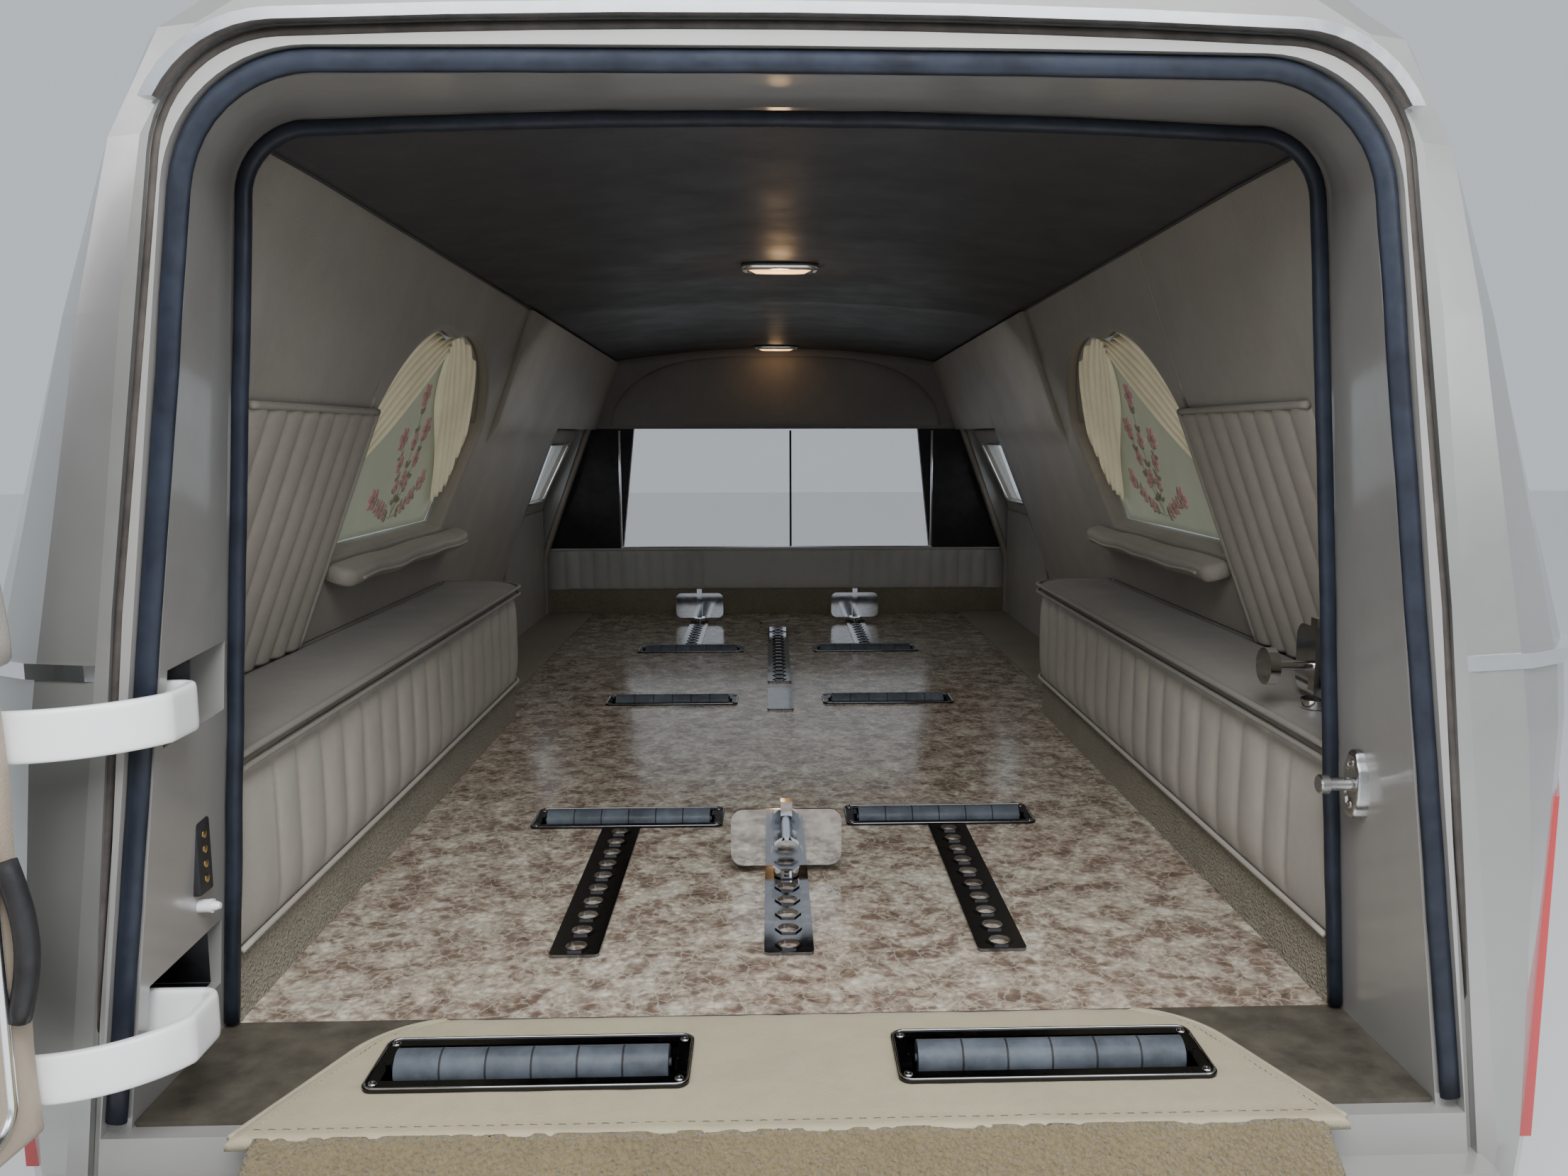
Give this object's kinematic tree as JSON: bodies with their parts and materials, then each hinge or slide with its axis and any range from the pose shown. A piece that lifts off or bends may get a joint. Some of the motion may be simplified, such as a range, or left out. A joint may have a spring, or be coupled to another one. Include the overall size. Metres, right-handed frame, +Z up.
{
  "type": "hearse casket compartment body section",
  "caption": "Rear body section of a hearse: casket deck with rollers and bier pins, padded lining, curtained opera windows, glass partition and an open rear door.",
  "frame": {"origin": "centre of the rear cross-member's underside, under the rear edge of the deck, on the plane the frame rails stand on", "axes": "+X to the car's right, +Y forward along the deck, +Z up"},
  "size_m": [1.89, 4.3633, 1.52],
  "materials": {
    "champagne_paint": "metallic gloss",
    "frame_black": "satin",
    "underbody": "matt",
    "bright_trim": "polished",
    "arm_silver": "gloss",
    "bright_bumper": "metallic gloss",
    "lamp_red": "gloss",
    "deck_laminate": "marbled gloss",
    "sill_black": "satin",
    "roller_rubber": "matt",
    "track_chrome": "polished",
    "carpet_olive": "plush",
    "lining_vinyl": "soft vinyl",
    "pad_vinyl": "soft vinyl",
    "headliner_vinyl": "soft vinyl",
    "apron_vinyl": "stitched vinyl",
    "curtain_cloth": "sheer",
    "shade_cloth": "printed sheer",
    "clear_glass": "clear",
    "frame_dark": "matt",
    "lamp_lens": "frosted",
    "seal_rubber": "matt",
    "fitting_metal": "brushed"
  },
  "bodies": {
    "body_section": {"apron_carpet": "carpet_olive", "bench_pads": "pad_vinyl", "bier_pins": "track_chrome", "bier_tracks": "track_chrome", "body_mouldings": "bright_trim", "bulkhead": "lining_vinyl", "casket_deck": "deck_laminate", "chassis_frame": "frame_black", "dome_lamps": "lamp_lens", "door_hoop": "champagne_paint", "door_seals": "seal_rubber", "floor_pan": "underbody", "front_bier_stops": "track_chrome", "header_panel": "headliner_vinyl", "headliner": "headliner_vinyl", "jamb_fittings": "fitting_metal", "kick_strips": "carpet_olive", "left_quarter_panel": "champagne_paint", "loading_apron": "apron_vinyl", "partition_frame": "frame_dark", "partition_glass": "clear_glass", "pleated_panels": "lining_vinyl", "quarter_windows": "clear_glass", "rear_aperture": "champagne_paint", "rear_bumper": "bright_bumper", "right_quarter_panel": "champagne_paint", "roller_housings": "track_chrome", "roof_panel": "champagne_paint", "side_benches": "lining_vinyl", "sill_plate": "sill_black", "tail_lamps": "lamp_red", "wall_linings": "lining_vinyl", "wheelhouses": "underbody", "window_curtains": "curtain_cloth", "window_ledges": "lining_vinyl", "window_shades": "shade_cloth"},
    "rear_door": {"rear_door": "champagne_paint", "rear_door_trim": "lining_vinyl", "rear_door_glass": "clear_glass", "rear_door_hinges": "arm_silver", "rear_door_latch": "bright_trim"},
    "left_side_door": {"left_side_door": "champagne_paint", "left_side_door_trim": "lining_vinyl", "left_side_door_glass": "clear_glass"},
    "right_side_door": {"right_side_door": "champagne_paint", "right_side_door_trim": "lining_vinyl", "right_side_door_glass": "clear_glass"},
    "sill_roller_left": {"sill_roller_left": "roller_rubber"},
    "sill_roller_right": {"sill_roller_right": "roller_rubber"},
    "rear_roller_left": {"rear_roller_left": "roller_rubber"},
    "rear_roller_right": {"rear_roller_right": "roller_rubber"},
    "middle_roller_left": {"middle_roller_left": "roller_rubber"},
    "middle_roller_right": {"middle_roller_right": "roller_rubber"},
    "front_roller_left": {"front_roller_left": "roller_rubber"},
    "front_roller_right": {"front_roller_right": "roller_rubber"}
  },
  "joints": [
    {"name": "rear_door_hinge", "type": "hinge", "parent": "body_section", "child": "rear_door", "pos_m": [-0.645, -0.14, 0.678], "axis": [0, 0, 1], "range_deg": [0, 94]},
    {"name": "left_side_door_hinge", "type": "hinge", "parent": "body_section", "child": "left_side_door", "pos_m": [-0.948, 2.847, 0.5], "axis": [0, 0, -1], "range_deg": [0, 65]},
    {"name": "right_side_door_hinge", "type": "hinge", "parent": "body_section", "child": "right_side_door", "pos_m": [0.948, 2.847, 0.5], "axis": [0, 0, 1], "range_deg": [0, 65]},
    {"name": "sill_roller_left_spin", "type": "hinge", "parent": "body_section", "child": "sill_roller_left", "pos_m": [-0.252, -0.118, 0.473], "axis": [1, 0, 0], "continuous": true},
    {"name": "sill_roller_right_spin", "type": "hinge", "parent": "body_section", "child": "sill_roller_right", "pos_m": [0.252, -0.118, 0.473], "axis": [1, 0, 0], "continuous": true},
    {"name": "rear_roller_left_spin", "type": "hinge", "parent": "body_section", "child": "rear_roller_left", "pos_m": [-0.252, 0.66, 0.459], "axis": [1, 0, 0], "continuous": true},
    {"name": "rear_roller_right_spin", "type": "hinge", "parent": "body_section", "child": "rear_roller_right", "pos_m": [0.252, 0.66, 0.459], "axis": [1, 0, 0], "continuous": true},
    {"name": "middle_roller_left_spin", "type": "hinge", "parent": "body_section", "child": "middle_roller_left", "pos_m": [-0.252, 1.515, 0.459], "axis": [1, 0, 0], "continuous": true},
    {"name": "middle_roller_right_spin", "type": "hinge", "parent": "body_section", "child": "middle_roller_right", "pos_m": [0.252, 1.515, 0.459], "axis": [1, 0, 0], "continuous": true},
    {"name": "front_roller_left_spin", "type": "hinge", "parent": "body_section", "child": "front_roller_left", "pos_m": [-0.252, 2.178, 0.459], "axis": [1, 0, 0], "continuous": true},
    {"name": "front_roller_right_spin", "type": "hinge", "parent": "body_section", "child": "front_roller_right", "pos_m": [0.252, 2.178, 0.459], "axis": [1, 0, 0], "continuous": true}
  ]
}
